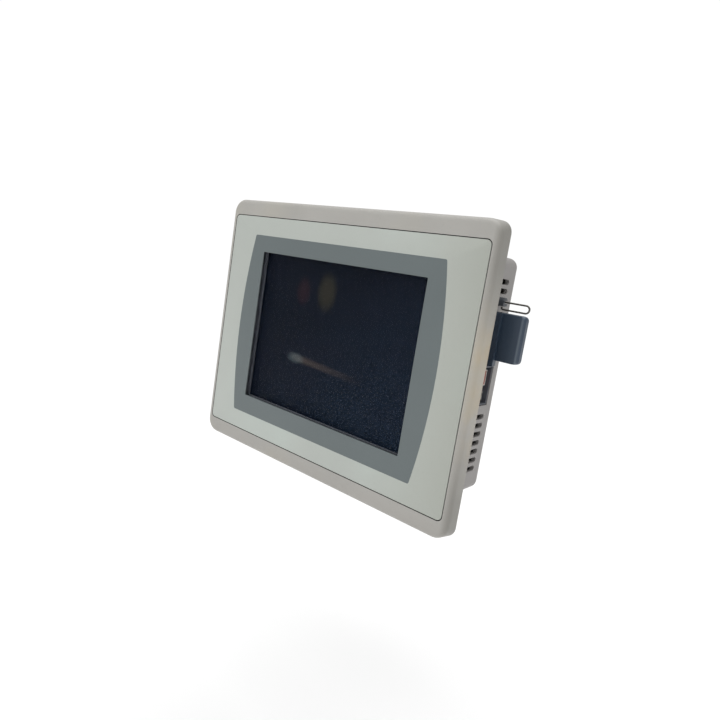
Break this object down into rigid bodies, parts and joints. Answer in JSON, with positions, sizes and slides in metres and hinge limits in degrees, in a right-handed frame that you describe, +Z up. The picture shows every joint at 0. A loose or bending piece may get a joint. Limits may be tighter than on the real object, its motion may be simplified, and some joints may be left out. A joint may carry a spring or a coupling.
{
  "type": "operator terminal touch panel",
  "caption": "Panel-mounted touch-screen operator terminal with vented rear housing, hinged side door, wire bail, and side and bottom ports.",
  "frame": {"origin": "centre of the bezel, in the plane where it seats on the panel", "axes": "+X to the operator's right, +Y back through the panel, +Z up"},
  "size_m": [0.1895, 0.0577, 0.152],
  "materials": {
    "bezel": "fine moulded texture, light warm grey",
    "overlay": "printed polyester sheet, light grey with a mid-grey band",
    "touch_glass": "clear, slightly grey",
    "flex": "amber polyimide",
    "display": "unlit display, blue-black",
    "sheet_steel": "zinc-plated sheet",
    "white_plastic": "white reflector tray",
    "circuit_board": "green solder mask",
    "heat_sink": "extruded, satin",
    "dark_plastic": "black moulded",
    "cell": "bright steel can",
    "door_black": "blue-black moulded, satin",
    "fastener": "zinc-plated steel",
    "cover_fastener": "dark-plated steel",
    "bay_plastic": "dark grey moulded",
    "connector_metal": "tin-plated shell",
    "switch_red": "red moulded",
    "switch_white": "white moulded",
    "terminal_green": "dark green moulded",
    "terminal_plug_green": "green moulded",
    "housing": "moulded, warm grey",
    "gasket": "closed-cell foam rubber",
    "label_blank": "blank silver-grey label",
    "brass": "plated brass",
    "bail_wire": "dark spring-steel wire",
    "card_plastic": "dark blue moulded"
  },
  "bodies": {
    "terminal": {"front_bezel": "bezel", "front_overlay": "overlay", "touch_sensor": "touch_glass", "touch_tail": "flex", "display_panel": "display", "display_frame": "sheet_steel", "display_backlight": "white_plastic", "display_bracket": "sheet_steel", "inverter_board": "circuit_board", "main_board": "circuit_board", "heat_sink": "heat_sink", "battery_holder": "dark_plastic", "coin_cell": "cell", "card_socket": "dark_plastic", "door_hinge_bracket": "door_black", "door_pin": "fastener", "bail_bracket": "door_black", "port_insert": "bay_plastic", "port_board": "circuit_board", "usb_socket": "connector_metal", "mode_switch_body": "switch_red", "ethernet_jack": "connector_metal", "serial_port": "connector_metal", "power_header": "terminal_green", "rear_housing": "housing", "panel_gasket": "gasket", "rating_plate": "label_blank", "earth_screw": "brass", "bracket_screw_1": "fastener", "bracket_screw_2": "fastener", "bracket_screw_3": "fastener", "bracket_screw_4": "fastener", "board_screw_1": "fastener", "board_screw_2": "fastener", "board_screw_3": "fastener", "board_screw_4": "fastener", "cover_screw_1": "cover_fastener", "cover_screw_2": "cover_fastener", "cover_screw_3": "cover_fastener", "cover_screw_4": "cover_fastener"},
    "card_door": {"card_door": "door_black"},
    "wire_bail": {"wire_bail": "bail_wire"},
    "memory_card": {"memory_card": "card_plastic"},
    "mode_switch_slider": {"mode_switch_slider": "switch_white"},
    "terminal_plug": {"terminal_plug": "terminal_plug_green"}
  },
  "joints": [
    {"name": "door_hinge", "type": "hinge", "parent": "terminal", "child": "card_door", "pos_m": [0.0816, 0.0254, 0.0219], "axis": [0, 0, 1], "range_deg": [0, 90]},
    {"name": "bail_hinge", "type": "hinge", "parent": "terminal", "child": "wire_bail", "pos_m": [0.0807, 0.029, 0.03715], "axis": [0, 0, 1], "range_deg": [0, 90]},
    {"name": "card_slide", "type": "slide", "parent": "terminal", "child": "memory_card", "axis": [-1, 0, 0], "range_m": [-0.012, 0]},
    {"name": "switch_slide", "type": "slide", "parent": "terminal", "child": "mode_switch_slider", "axis": [0, 0, 1], "range_m": [0, 0.002]},
    {"name": "plug_slide", "type": "slide", "parent": "terminal", "child": "terminal_plug", "axis": [0, 0, 1], "range_m": [-0.009, 0]}
  ]
}
